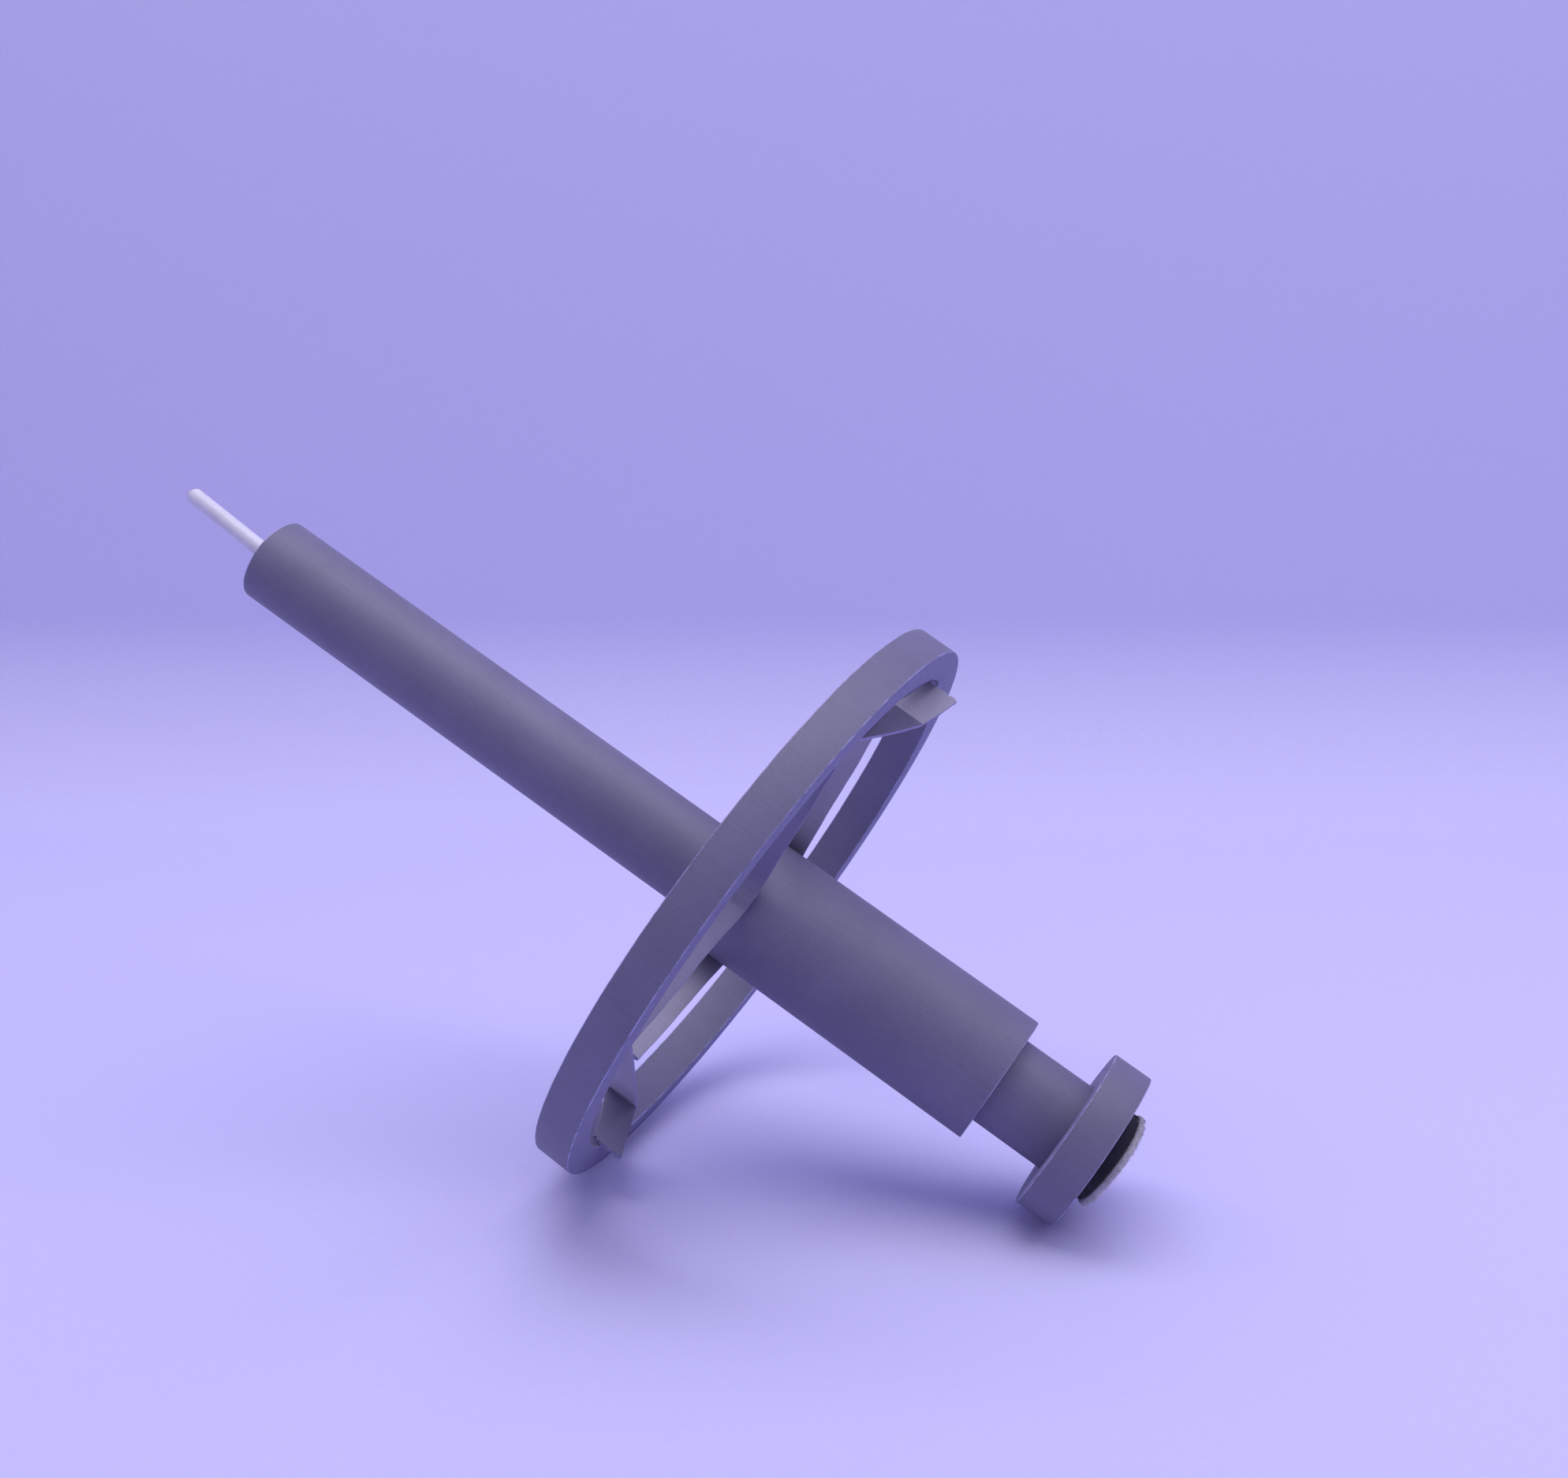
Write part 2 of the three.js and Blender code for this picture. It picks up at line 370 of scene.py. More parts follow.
def worn_and_highlight_corner(name, place):
    """The eased corner of a sawn end: pale in most places, as dark as the wall in others.
    The pale is partly wear and partly a painted highlight along the edge.
    """
    n = Nodes(name)
    worn = n.noise(n.mapped(place), 0.25, 6.0, 0.7)
    fine = n.noise(n.mapped(place), 2.5, 3.0, 0.7)
    patchy = n.math("ADD", worn, n.math("MULTIPLY", fine, 0.35))
    # rubbed marks where the corner is pale: partly wear, partly a painted highlight.
    rubbed = n.between(patchy, 0.0, 1.0, 0.58, 0.78)
    colour = n.mix(rubbed, shade(GREY, 1.15), shade(GREY, 2.3))
    n.set(Base_Color=colour, Roughness=0.6, Normal=n.bump(fine, 0.00005, 0.6))
    n.set(IOR=1.52, Specular_IOR_Level=0.4)
    return n.material


def white_plastic(place):
    n = Nodes("white_rod")
    grain = n.noise(n.mapped(place, (0.15, 1.0, 1.0)), 2.4, 4.0, 0.6)
    smudge = n.noise(n.mapped(place), 0.16, 5.0, 0.65)
    colour = n.ramp(smudge, [(0.3, (0.64, 0.625, 0.74)), (0.62, (0.75, 0.735, 0.86))])
    rough = n.between(grain, 0.34, 0.48)
    n.set(Base_Color=colour, Roughness=rough, Normal=n.bump(grain, 0.00003, 0.5))
    n.set(Subsurface_Weight=0.12, Subsurface_Scale=0.001)
    return n.material


def hook_fabric(place):
    """Black hook tape: rows of tiny hooks on a dark ground."""
    n = Nodes("black_hook")
    rows = n.noise(n.mapped(place, (1.0, 2.2, 2.2)), 1.1, 6.0, 0.8)
    colour = n.ramp(rows, [(0.35, (0.007, 0.006, 0.018)), (0.8, (0.032, 0.03, 0.07))])
    n.set(Base_Color=colour, Roughness=0.9, Normal=n.bump(rows, 0.0004, 1.0))
    n.set(Sheen_Weight=0.15)
    return n.material


def loop_fabric(place):
    """White loop tape: a felted tangle of fine loops on a pale backing, a little soiled."""
    n = Nodes("white_loop")
    tangle = n.noise(n.mapped(place), 1.6, 8.0, 0.75, 1.2)
    soil = n.noise(n.mapped(place), 0.12, 4.0, 0.6)
    colour = n.ramp(tangle, [(0.3, (0.42, 0.405, 0.45)), (0.62, (0.77, 0.75, 0.81))])
    dirty = n.ramp(soil, [(0.35, (0.78, 0.77, 0.78)), (0.65, (1.0, 1.0, 1.0))])
    colour = n.mix(0.7, colour, dirty, "MULTIPLY")
    n.set(Base_Color=colour, Roughness=0.95, Normal=n.bump(tangle, 0.0003, 0.8))
    n.set(Sheen_Weight=0.3)
    return n.material


def floor_material():
    """Pale matt paper on the spindle's side, and nothing at all from behind."""
    n = Nodes("floor")
    fine = n.noise(n.mapped(Matrix.Scale(MM, 4)), 0.8, 4.0, 0.6)
    colour = n.ramp(fine, [(0.35, (0.595, 0.57, 0.90)), (0.65, (0.61, 0.585, 0.92))])
    n.set(Base_Color=colour, Roughness=0.85, Specular_IOR_Level=0.2)
    seen_through = n.add("ShaderNodeBsdfTransparent")
    either = n.add("ShaderNodeMixShader")
    n.link(n.add("ShaderNodeNewGeometry").outputs["Backfacing"], either.inputs[0])
    n.link(n.shader.outputs["BSDF"], either.inputs[1])
    n.link(seen_through.outputs["BSDF"], either.inputs[2])
    n.link(either.outputs["Shader"], n.out.inputs["Surface"])
    return n.material


# ---- the turned pieces ----

tube_plastic = grey_plastic("grey_tube", spindle_place, shade(GREY, 0.92))
tube_cut = cut_plastic("grey_tube_cut", spindle_place, 1.3)
whorl_plastic = grey_plastic("whorl_tube", whorl_place, shade(GREY, 0.94))
whorl_cut = cut_plastic("whorl_cut", whorl_place, 1.25)
# Corner materials: partly wear, partly a painted highlight along the eased edges.
tube_corner = worn_and_highlight_corner("tube_corner", spindle_place)
whorl_corner = worn_and_highlight_corner("whorl_corner", whorl_place)
strip_plastic = grey_plastic("grey_strip", whorl_place, shade(GREY, 1.08))
# Painted light: a paler copy of the grey plastic, for strip faces that are lit more brightly.
painted_light_strip = grey_plastic("painted_light_strip", whorl_place, PAINTED_LIGHT_GREY)
# Painted shade: a darker copy of the grey plastic, for the upper brace's plate in the ring's
# shadow.
painted_shade_strip = grey_plastic("painted_shade_strip", whorl_place, shade(GREY, 0.8))
strip_cut = cut_plastic("strip_cut", whorl_place, 1.6)

SAW_WANDER = 0.05
WHORL_SAW_WANDER = 0.1
OUT_OF_ROUND = 0.03


def tube_piece(name, body, place, wander, looks, start, end, inner, outer, seed, ease):
    profile = rounded_profile(start, end, inner, outer, ease)
    mesh = turned_mesh(name, profile, saw_wobble(seed, wander, OUT_OF_ROUND))
    new_piece(name + "_smooth", mesh, place, body, [name], looks)


def bottom_plug():
    """A disc that closes on its axis, with eased rims."""
    sides, corner_steps, face_rings = 96, 4, 8
    ease, centre = 0.3, 0.02
    start, end = BASE_END - PLUG_LENGTH, BASE_END - PLUG_RECESS
    radius = SHAFT_BORE - FIT_GAP
    section = [(start, centre)]
    for middle, from_angle in ((start + ease, math.pi), (end - ease, math.pi / 2)):
        for i in range(corner_steps + 1):
            angle = from_angle - math.pi / 2 * i / corner_steps
            section.append(
                (middle + ease * math.cos(angle), radius - ease + ease * math.sin(angle))
            )
    for i in range(1, face_rings + 1):
        section.append((end, max((radius - ease) * (1 - i / face_rings), centre)))
    bm = bmesh.new()
    columns = []
    for i in range(sides):
        angle = 2 * math.pi * i / sides
        columns.append(
            [bm.verts.new((x, r * math.cos(angle), r * math.sin(angle))) for x, r in section]
        )
    for i in range(sides):
        here, there = columns[i], columns[(i + 1) % sides]
        for j in range(len(section) - 1):
            bm.faces.new((here[j], here[j + 1], there[j + 1], there[j]))
    bmesh.ops.remove_doubles(bm, verts=bm.verts, dist=0.05)
    mesh = finish_mesh(bm, "bottom_plug")
    new_piece(
        "bottom_plug_smooth", mesh, spindle_place, "spindle", ["bottom_plug"],
        [tube_plastic],
    )


tube_looks = [tube_plastic, tube_cut, tube_corner]
whorl_looks = [whorl_plastic, whorl_cut, whorl_corner]
base_start = BASE_END - SLICE_WIDTH
shaft_end = BASE_END - PLUG_RECESS
sleeve_bore = SHAFT_RADIUS + FIT_GAP
ring_bore = SLEEVE_RADIUS + FIT_GAP
whorl_bore = WHORL_RADIUS - WHORL_WALL
whorl_outside = WHORL_RADIUS - WHORL_TRIM

for name, *sizes in (
    ("shaft_tube", SHAFT_TOP, shaft_end, SHAFT_BORE, SHAFT_RADIUS, 1.0, 0.45),
    ("lower_sleeve", SLEEVE_TOP, SLEEVE_END, sleeve_bore, SLEEVE_RADIUS, 2.0, 0.18),
    ("base_collar", base_start, BASE_END, sleeve_bore, SLEEVE_RADIUS, 3.0, 0.25),
    ("base_ring", base_start, BASE_END, ring_bore, BASE_RADIUS, 4.0, 0.2),
):
    tube_piece(name, "spindle", spindle_place, SAW_WANDER, tube_looks, *sizes)
tube_piece(
    "whorl_ring", "whorl", whorl_place, WHORL_SAW_WANDER, whorl_looks,
    0.0, SLICE_WIDTH, whorl_bore, whorl_outside, 5.0, 0.22,
)
bottom_plug()

# ---- the rod and the plug round it ----

rod_place = (
    spindle_place
    @ Matrix.Rotation(WHORL_ROLL, 4, "X")
    @ Matrix.Translation((SHAFT_TOP, 0, 0))
    @ Matrix.Rotation(ROD_LEAN, 4, "Y")
    @ Matrix.Translation((-SHAFT_TOP, 0, 0))
)


def tip_rod():
    """A white plastic rod, its tip snipped off in two slants and eased by handling."""
    bm = bmesh.new()
    sides, lengths = 64, 40
    rings = []
    for i in range(lengths + 1):
        x = ROD_TIP + ROD_LENGTH * (i / lengths) ** 2
        ring = []
        for j in range(sides):
            angle = 2 * math.pi * j / sides
            y, z = ROD_RADIUS * math.cos(angle), ROD_RADIUS * math.sin(angle)
            ring.append(bm.verts.new((x, y, z)))
        rings.append(ring)
    for here, there in zip(rings, rings[1:]):
        for j in range(sides):
            k = (j + 1) % sides
            bm.faces.new((here[j], here[k], there[k], there[j]))
    bm.faces.new(rings[0])
    bm.faces.new(rings[-1])
    cuts = [((1.0, 0.25, -0.5), 0.15), ((1.0, -0.1, 0.42), 0.7)]
    for normal, depth in cuts:
        slant = Vector(normal).normalized()
        on_cut = Vector((ROD_TIP + depth, 0, 0))
        cut = bmesh.ops.bisect_plane(
            bm, geom=bm.verts[:] + bm.edges[:] + bm.faces[:], plane_co=on_cut,
            plane_no=-slant, clear_outer=True,
        )
        rim = [g for g in cut["geom_cut"] if isinstance(g, bmesh.types.BMEdge)]
        bmesh.ops.holes_fill(bm, edges=rim, sides=0)
    tip_edges = [
        e for e in bm.edges
        if e.is_manifold and e.calc_face_angle() > math.radians(20)
    ]
    bmesh.ops.bevel(bm, geom=tip_edges, offset=0.18, segments=2, affect="EDGES")
    mesh = finish_mesh(bm, "tip_rod", 30)
    new_piece(
        "tip_rod_smooth", mesh, rod_place, "rod", ["tip_rod"],
        [white_plastic(rod_place)],
    )


PLUG_SINK = 0.9
PLUG_HOLLOW = 0.5


def top_plug():
    """The plug in the shaft's mouth, a little hollowed round the leaning rod."""
    bm = bmesh.new()
    sides, rings = 96, 10
    outer = SHAFT_BORE - FIT_GAP
    inner = ROD_RADIUS + FIT_GAP
    lean = math.tan(ROD_LEAN)
    back = SHAFT_TOP + PLUG_LENGTH
    levels = [(1.0, back)]
    for i in range(rings, -1, -1):
        t = i / rings
        levels.append((t, SHAFT_TOP + PLUG_SINK + PLUG_HOLLOW * math.sin(math.pi * t)))
    levels.append((0.0, back))
    loops = []
    for t, x in levels:
        radius = inner + (outer - inner) * t
        shift = -(x - SHAFT_TOP) * lean * (1 - t)
        loops.append(
            [
                bm.verts.new((
                    x,
                    radius * math.cos(2 * math.pi * j / sides),
                    radius * math.sin(2 * math.pi * j / sides) + shift,
                ))
                for j in range(sides)
            ]
        )
    for here, there in zip(loops, loops[1:] + loops[:1]):
        for j in range(sides):
            k = (j + 1) % sides
            bm.faces.new((here[j], here[k], there[k], there[j]))
    mesh = finish_mesh(bm, "top_plug")
    new_piece(
        "top_plug_smooth", mesh, base_place, "spindle", ["top_plug"], [tube_cut]
    )


tip_rod()
top_plug()

# ---- the strips ----


def spline(points, per_span):
    """A smooth line through the points, as (across, up, start, end) four-vectors."""
    line = []
    last = len(points) - 1
    for i in range(last):
        p0, p1 = points[max(i - 1, 0)], points[i]
        p2, p3 = points[i + 1], points[min(i + 2, last)]
        for j in range(per_span):
            t = j / per_span
            line.append(tuple(
                0.5 * (
                    2 * b + (c - a) * t
                    + (2 * a - 5 * b + 4 * c - d) * t * t
                    + (3 * b - a - 3 * c + d) * t * t * t
                )
                for a, b, c, d in zip(p0, p1, p2, p3)
            ))
    line.append(points[-1])
    return line


STRIP_ROWS = 14
RAGGED = 0.12
CUPPED = 0.12
# AFTER_FOLD is the material slot of a strip's faces past its fold; the braces use it to give plate
# and flap different painted light and shade tones.
AFTER_FOLD = 2
FOLD_DEGREES = 16


def strip_side(bm, stations, seed, side):
    """One face of a strip: a column of points across its width at each station."""
    last = len(stations) - 1
    columns = []
    for i, (y, z, start, end) in enumerate(stations):
        before, after = stations[max(i - 1, 0)], stations[min(i + 1, last)]
        run = Vector((after[0] - before[0], after[1] - before[1])).normalized()
        ragged = noise.noise(Vector((i * 0.35, seed, 0.0))) * RAGGED
        bow = noise.noise(Vector((i * 0.05, seed, 3.0))) * CUPPED
        column = []
        for j in range(STRIP_ROWS + 1):
            t = j / STRIP_ROWS
            on_edge = j in (0, STRIP_ROWS)
            x = start + (end - start) * t + (ragged if on_edge else 0.0)
            offset = side * STRIP_THICKNESS / 2 * (0.8 if on_edge else 1.0)
            offset += bow * math.sin(math.pi * t)
            column.append(bm.verts.new((x, y - run.y * offset, z + run.x * offset)))
        columns.append(column)
    return columns


def strip_mesh(name, lines, seed, torn_end):
    """A thin strip on edge. lines are smooth runs that meet at sharp folds."""
    stations = []
    for line in lines:
        stations += line if not stations else line[1:]
    count = len(stations)
    fold = len(lines[0]) - 1
    bm = bmesh.new()
    one, other = (strip_side(bm, stations, seed, side) for side in (-1, 1))
    if torn_end:
        tear((one, other), stations, seed, torn_end)
    for grid, flip in ((one, False), (other, True)):
        for i in range(count - 1):
            for j in range(STRIP_ROWS):
                corners = (grid[i][j], grid[i][j + 1], grid[i + 1][j + 1], grid[i + 1][j])
                face = bm.faces.new(tuple(reversed(corners)) if flip else corners)
                face.material_index = AFTER_FOLD if i >= fold else WALL
    edge_faces = []
    for i in range(count - 1):
        for j in (0, STRIP_ROWS):
            edge_faces.append((one[i][j], one[i + 1][j], other[i + 1][j], other[i][j]))
    for j in range(STRIP_ROWS):
        for i in (0, count - 1):
            edge_faces.append((one[i][j], one[i][j + 1], other[i][j + 1], other[i][j]))
    for corners in edge_faces:
        bm.faces.new(corners).material_index = CUT
    return finish_mesh(bm, name, FOLD_DEGREES)


def tear(sheets, stations, seed, depth):
    """Pulls the last stations back by a ragged amount, so that the end looks torn."""
    last, before = stations[-1], stations[-4]
    run = Vector((0, last[0] - before[0], last[1] - before[1])).normalized()
    reach = 4
    for grid in sheets:
        for k in range(reach):
            column = grid[-1 - k]
            share = 1 - k / reach
            for j, vertex in enumerate(column):
                rag = noise.noise(Vector((j * 0.55, seed, 8.0)))
                rag += 0.5 * noise.noise(Vector((j * 1.7, seed, 2.0)))
                vertex.co -= run * depth * (0.4 + rag) * share


def add_strip(name, lines, seed, looks, torn_end=0.0):
    mesh = strip_mesh(name, lines, seed, torn_end)
    new_piece(name + "_curved", mesh, whorl_place, "whorl", [name], looks)


STRIP_WIDTH = 7.7
WALL_PLAY = 0.1
HUB_PLAY = 0.5
WALL_REACH = WHORL_RADIUS - WHORL_WALL - STRIP_THICKNESS / 2 - WALL_PLAY
HUB_REACH = SLEEVE_RADIUS + STRIP_THICKNESS / 2 + HUB_PLAY


def at(across, up, end, width=STRIP_WIDTH):
    """A station of a strip: a place on its middle line, and its two edges along the spindle."""
    return (across, up, end - width, end)


def on_wall(degrees, end):
    """A station where a strip meets the inside of the ring."""
    angle = math.radians(degrees)
    return at(WALL_REACH * math.cos(angle), WALL_REACH * math.sin(angle), end)


flush = SLICE_WIDTH - WALL_PLAY
hub_end = SLICE_WIDTH - HUB_SAG

front_line = spline([
    on_wall(145.5, flush),
    at(-38.0, 23.6, flush - 0.9),
    at(-25.0, 13.2, hub_end + 0.6),
    at(-HUB_REACH - 1.1, 6.3, hub_end),
    at(-HUB_REACH, 0.6, hub_end),
    at(-HUB_REACH - 1.2, -3.6, hub_end),
    at(-27.5, -10.6, hub_end + 0.6),
    at(-41.5, -20.6, flush - 0.9),
    on_wall(-151, flush),
], 8)
add_strip("front_strip", [front_line], 1.0, [strip_plastic, strip_cut])


def hub_arc(first, last, steps=8):
    points = []
    for i in range(steps + 1):
        angle = math.radians(first + (last - first) * i / steps)
        points.append(
            at(HUB_REACH * math.cos(angle), HUB_REACH * math.sin(angle) - WHORL_RISE, hub_end)
        )
    return points


back_line = spline(
    [at(-33.6, 43.7, flush), at(-22.0, 34.5, flush - 0.6), at(-6.5, 23.6, hub_end + 0.9)]
    + hub_arc(50, -58)
    + [at(-8.0, -22.6, hub_end + 0.9), at(-24.0, -30.5, flush - 0.6), at(-35.6, -36.5, flush)],
    6,
)
# The back strip takes the painted light tone.
add_strip("back_strip", [back_line], 2.0, [painted_light_strip, strip_cut])

upper_fold = at(-6.0, 52.6, 12.0)
upper_plate = spline([on_wall(138, flush), at(-26.0, 47.1, 10.6), upper_fold], 10)
upper_flap = spline([upper_fold, at(-1.2, 57.5, 13.3), at(3.4, 61.9, 14.1)], 8)
# The upper brace's plate takes the painted shade tone and its flap the painted light tone.
add_strip(
    "upper_brace", [upper_plate, upper_flap], 3.0, [painted_shade_strip, strip_cut, painted_light_strip], 0.6
)

lower_fold = at(6.0, -52.9, flush, SLICE_WIDTH - 0.2)
lower_plate = spline([on_wall(-149, flush), at(-26.6, -41.2, flush), lower_fold], 12)
lower_flap = spline([lower_fold, at(1.6, -57.4, 11.2), at(-5.2, -61.9, 14.0)], 8)
# The lower brace's plate takes the painted light tone.
add_strip(
    "lower_brace", [lower_plate, lower_flap], 4.0, [painted_light_strip, strip_cut, strip_plastic], 0.9
)

# ---- the two dots under the base ----

DOT_LIFT = DOT_RADIUS * math.tan(DOT_TILT)
PILE_TOP = HOOK_THICKNESS + DOT_LIFT + PIECE_GAP
PILE_RADIUS = 10.6
SOFT_EDGE = 0.6
CURL_START = 4.5
CURL_RATE = 0.012

LOOP_THREAD = 0.035
HOOK_THREAD = 0.04
STRAY_THREAD = 0.05
THREAD_STEPS = 5
THREAD_SINK = 0.08
HAIR_ROOT = 0.4

hook_place = base_place @ Matrix.Translation((BASE_END, 0, 0))
loop_place = (
    hook_place
    @ Matrix.Translation((PILE_TOP + PIECE_GAP, 0, 0))
    @ Matrix.Rotation(DOT_TILT, 4, "Z")
    @ Matrix.Rotation(DOT_TWIST, 4, "Y")
)


def dot_mesh(near, far, rim, reach):
    """A soft disc between two faces, given as functions of (y, z), with a rounded rim."""
    sides, rings, steps = 200, 16, 8
    section = [(i / rings, 0.0) for i in range(1, rings)]
    for i in range(steps + 1):
        angle = math.pi * (i / steps - 0.5)
        section.append((1 - rim + rim * math.cos(angle), 0.5 + 0.5 * math.sin(angle)))
    section += [(1 - i / rings, 1.0) for i in range(1, rings)]
    bm = bmesh.new()
    columns = []
    for i in range(sides):
        angle = 2 * math.pi * i / sides
        ragged = 1 + 0.012 * noise.noise(Vector((math.cos(angle) * 3, math.sin(angle) * 3, 1.0)))
        column = []
        for share, depth in section:
            radius = reach * share * ragged
            y, z = radius * math.cos(angle), radius * math.sin(angle)
            x = near(y, z) + (far(y, z) - near(y, z)) * depth
            column.append(bm.verts.new((x, y, z)))
        columns.append(column)
    for i in range(sides):
        here, there = columns[i], columns[(i + 1) % sides]
        for j in range(len(section) - 1):
            bm.faces.new((here[j], here[j + 1], there[j + 1], there[j]))
    for j in (0, -1):
        bm.faces.new([column[j] for column in columns])
    return bm


def add_thread(bm, points, radius):
    """A fine thread along the points, as a three sided tube."""
    rings = []
    for i, point in enumerate(points):
        run = points[min(i + 1, len(points) - 1)] - points[max(i - 1, 0)]
        side = run.orthogonal().normalized()
        other = run.cross(side).normalized()
        thin = radius * (0.4 if i in (0, len(points) - 1) else 1.0)
        rings.append([
            bm.verts.new(point + (side * math.cos(a) + other * math.sin(a)) * thin)
            for a in (0.0, 2.1, 4.2)
        ])
    for here, there in zip(rings, rings[1:]):
        for j in range(3):
            k = (j + 1) % 3
            bm.faces.new((here[j], here[k], there[k], there[j]))
    bm.faces.new(rings[0])
    bm.faces.new(rings[-1])


def add_loops(bm, rng, count, spot, reach, height, radius):
    """Little arches of thread. spot picks a place on the disc and the way out from it."""
    for _ in range(count):
        place, out = spot(rng)
        along = out.orthogonal().normalized()
        along.rotate(Matrix.Rotation(rng.uniform(0, 2 * math.pi), 3, out))
        length = reach * rng.uniform(0.5, 1.3)
        rise = height * rng.uniform(0.4, 1.4)
        points = []
        for i in range(THREAD_STEPS + 1):
            t = i / THREAD_STEPS
            arch = math.sin(math.pi * t) * rise - THREAD_SINK
            points.append(place + along * length * (t - 0.5) + out * arch)
        add_thread(bm, points, radius)


def curl(z):
    """How far the white dot's upper edge bends back over the black pile."""
    return CURL_RATE * max(0.0, z - CURL_START) ** 2


def loop_dot():
    def near(y, z):
        return 0.05 * noise.noise(Vector((y, z, 4.0))) - curl(z)

    def far(y, z):
        dome = 0.22 * (y * y + z * z) / DOT_RADIUS ** 2 + curl(z)
        felt = 0.1 * noise.noise(Vector((y * 1.4, z * 1.4, 0.0)))
        felt += 0.06 * noise.noise(Vector((y * 3.5, z * 3.5, 5.0)))
        return LOOP_THICKNESS - dome + felt - 0.1

    def on_face(rng):
        angle, radius = rng.uniform(0, 2 * math.pi), DOT_RADIUS * math.sqrt(rng.random()) * 0.96
        y, z = radius * math.cos(angle), radius * math.sin(angle)
        return Vector((far(y, z), y, z)), Vector((1, 0, 0))

    def on_rim(rng):
        angle, turn = rng.uniform(0, 2 * math.pi), rng.uniform(-1.3, 1.2)
        level = math.cos(turn)
        out = Vector((math.sin(turn), level * math.cos(angle), level * math.sin(angle)))
        radius = DOT_RADIUS - SOFT_EDGE + SOFT_EDGE * level
        x = LOOP_THICKNESS * (0.5 + 0.45 * math.sin(turn)) - curl(radius * math.sin(angle))
        return Vector((x, radius * math.cos(angle), radius * math.sin(angle))), out

    rng = random.Random(11)
    bm = dot_mesh(near, far, 0.055, DOT_RADIUS)
    add_loops(bm, rng, 900, on_face, 0.9, 0.2, LOOP_THREAD)
    add_loops(bm, rng, 700, on_rim, 0.7, 0.22, LOOP_THREAD)
    mesh = finish_mesh(bm, "loop_dot", 60)
    new_piece(
        "loop_dot_felt", mesh, loop_place, "spindle", ["loop_dot"],
        [loop_fabric(loop_place)],
    )


def hook_dot():
    """The hook tape's back, with a pile of hooks that fills the wedge up to the white dot."""
    lean, twist = math.tan(DOT_TILT), math.tan(DOT_TWIST)

    def near(y, z):
        return 0.1

    def far(y, z):
        tuft = 0.16 * noise.noise(Vector((y * 2.2, z * 2.2, 9.0)))
        return PILE_TOP - y * lean + z * twist - 0.05 + tuft

    def on_rim(rng):
        angle = rng.uniform(0, 2 * math.pi)
        out = Vector((0, math.cos(angle), math.sin(angle)))
        y, z = out.y * PILE_RADIUS, out.z * PILE_RADIUS
        return Vector((near(y, z) + (far(y, z) - near(y, z)) * rng.random(), y, z)), out

    rng = random.Random(7)
    bm = dot_mesh(near, far, 0.02, PILE_RADIUS)
    add_loops(bm, rng, 800, on_rim, 0.5, 0.2, HOOK_THREAD)
    # A few stray hairs stand up past the white dot's edge.
    for angle, bend in ((-1.72, 0.5), (-1.9, -0.4), (-2.35, 0.6), (2.9, 0.4)):
        out = Vector((0, math.sin(angle), math.cos(angle)))
        start = out * (PILE_RADIUS - HAIR_ROOT)
        start.x = far(start.y, start.z) - 0.3
        across = Vector((1, 0, 0)).cross(out)
        points = []
        for i in range(THREAD_STEPS + 1):
            rise = Vector((0.42 * i, 0, 0)) + out * (0.3 + 0.05 * i)
            points.append(start + rise + across * bend * (i / 4) ** 2)
        add_thread(bm, points, STRAY_THREAD)
    mesh = finish_mesh(bm, "hook_dot", 60)
    new_piece(
        "hook_dot_pile", mesh, hook_place, "spindle", ["hook_dot"],
        [hook_fabric(hook_place)],
    )


loop_dot()
hook_dot()

# ---- camera, floor and light ----

CAMERA_OFFSET = Vector((148.7, -356.0, 129.2)) * MM
CAMERA_FORWARD = Vector((-0.3508, 0.9058, -0.2375))
FOCAL_LENGTH = 42.16


def add_camera():
    data = bpy.data.cameras.new("camera")
    data.lens = FOCAL_LENGTH
    data.sensor_width = 36.0
    data.clip_start = 0.01
    data.clip_end = 50.0
    camera = bpy.data.objects.new("camera", data)
    bpy.context.scene.collection.objects.link(camera)
    camera.location = spindle_place.to_translation() + CAMERA_OFFSET
    camera.rotation_euler = CAMERA_FORWARD.to_track_quat("-Z", "Y").to_euler()
    bpy.context.scene.camera = camera


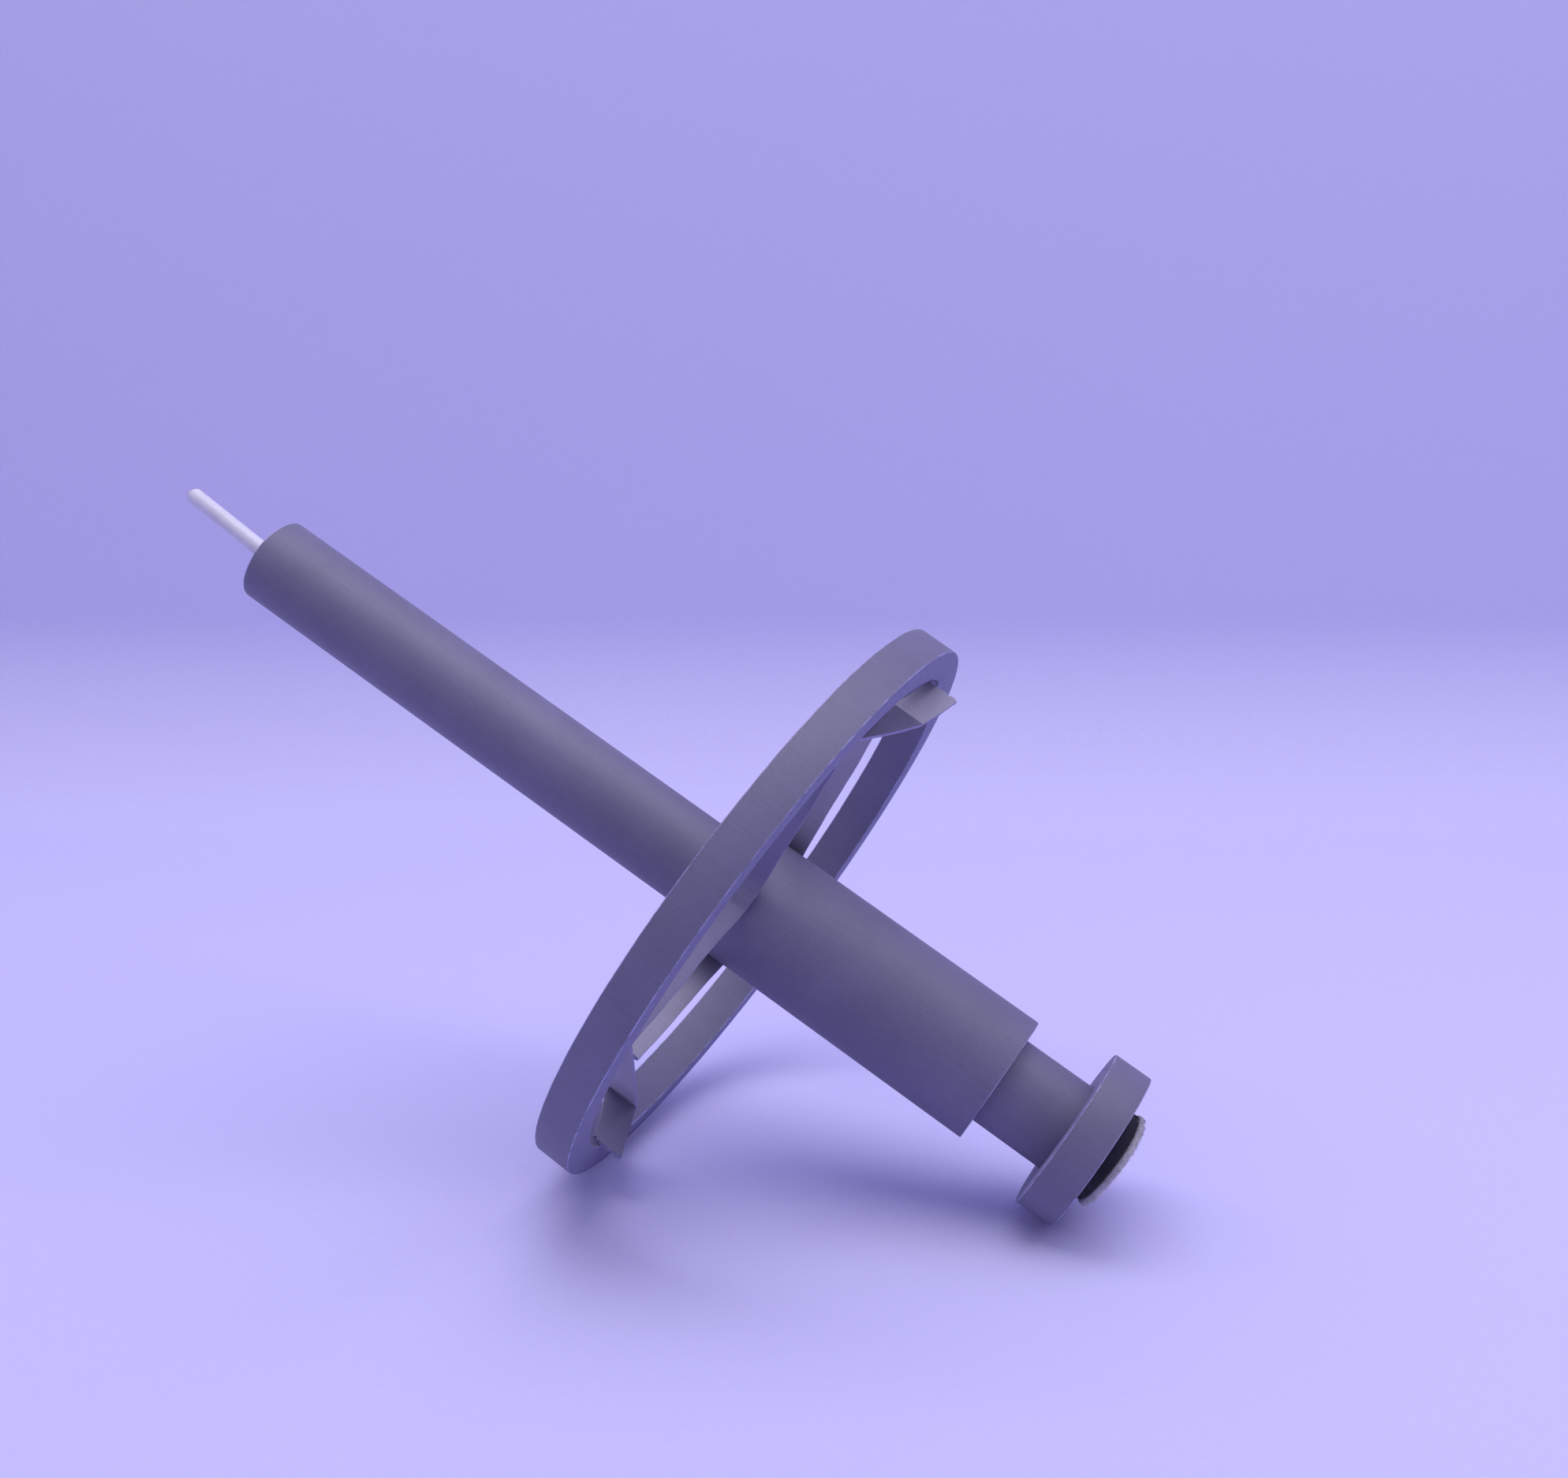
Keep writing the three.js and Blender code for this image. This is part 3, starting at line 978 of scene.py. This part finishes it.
def add_floor():
    """A pale sweep: a level floor that curves up into a wall well behind the spindle."""
    wall_distance, curve_radius, reach, steps = 0.24, 0.07, 8.0, 24
    line = [(-reach, 0.0), (wall_distance, 0.0)]
    for i in range(1, steps + 1):
        angle = math.pi / 2 * i / steps
        line.append(
            (wall_distance + curve_radius * math.sin(angle), curve_radius * (1 - math.cos(angle)))
        )
    line.append((wall_distance + curve_radius, reach))
    away = Vector((CAMERA_FORWARD.x, CAMERA_FORWARD.y, 0)).normalized()
    across = Vector((away.y, -away.x, 0))
    bm = bmesh.new()
    rows = [
        [bm.verts.new(away * d + across * s * reach + Vector((0, 0, h))) for s in (-1, 1)]
        for d, h in line
    ]
    for here, there in zip(rows, rows[1:]):
        bm.faces.new((here[0], here[1], there[1], there[0]))
    mesh = bpy.data.meshes.new("floor")
    bm.to_mesh(mesh)
    bm.free()
    for face in mesh.polygons:
        face.use_smooth = True
    floor = bpy.data.objects.new("floor", mesh)
    bpy.context.scene.collection.objects.link(floor)
    mesh.materials.append(floor_material())


WORLD_COLOUR = (0.77, 0.75, 1.0)
WORLD_STRENGTH = 0.46
LIGHT_COLOUR = (0.98, 0.96, 1.0)


def add_area_light(name, place, target, size, power):
    data = bpy.data.lights.new(name, "AREA")
    data.shape = "RECTANGLE"
    data.size, data.size_y = size
    data.energy = power
    data.color = LIGHT_COLOUR
    light = bpy.data.objects.new(name, data)
    bpy.context.scene.collection.objects.link(light)
    light.location = place
    light.rotation_euler = (Vector(target) - Vector(place)).to_track_quat("-Z", "Y").to_euler()


def add_light():
    """A dim even world, a broad panel overhead and a weaker one towards the tip."""
    world = bpy.data.worlds.new("studio")
    world.use_nodes = True
    background = world.node_tree.nodes["Background"]
    background.inputs["Color"].default_value = (*WORLD_COLOUR, 1.0)
    background.inputs["Strength"].default_value = WORLD_STRENGTH
    bpy.context.scene.world = world
    add_area_light("key", (-0.25, 0.1, 1.1), (0.0, 0.0, 0.0), (1.0, 1.0), 3.4)
    add_area_light("sky", (0.03, 0.32, 0.9), (0.0, 0.1, 0.0), (2.0, 1.4), 14.9)
    bpy.context.scene.view_settings.view_transform = "Standard"


add_camera()
add_floor()
add_light()
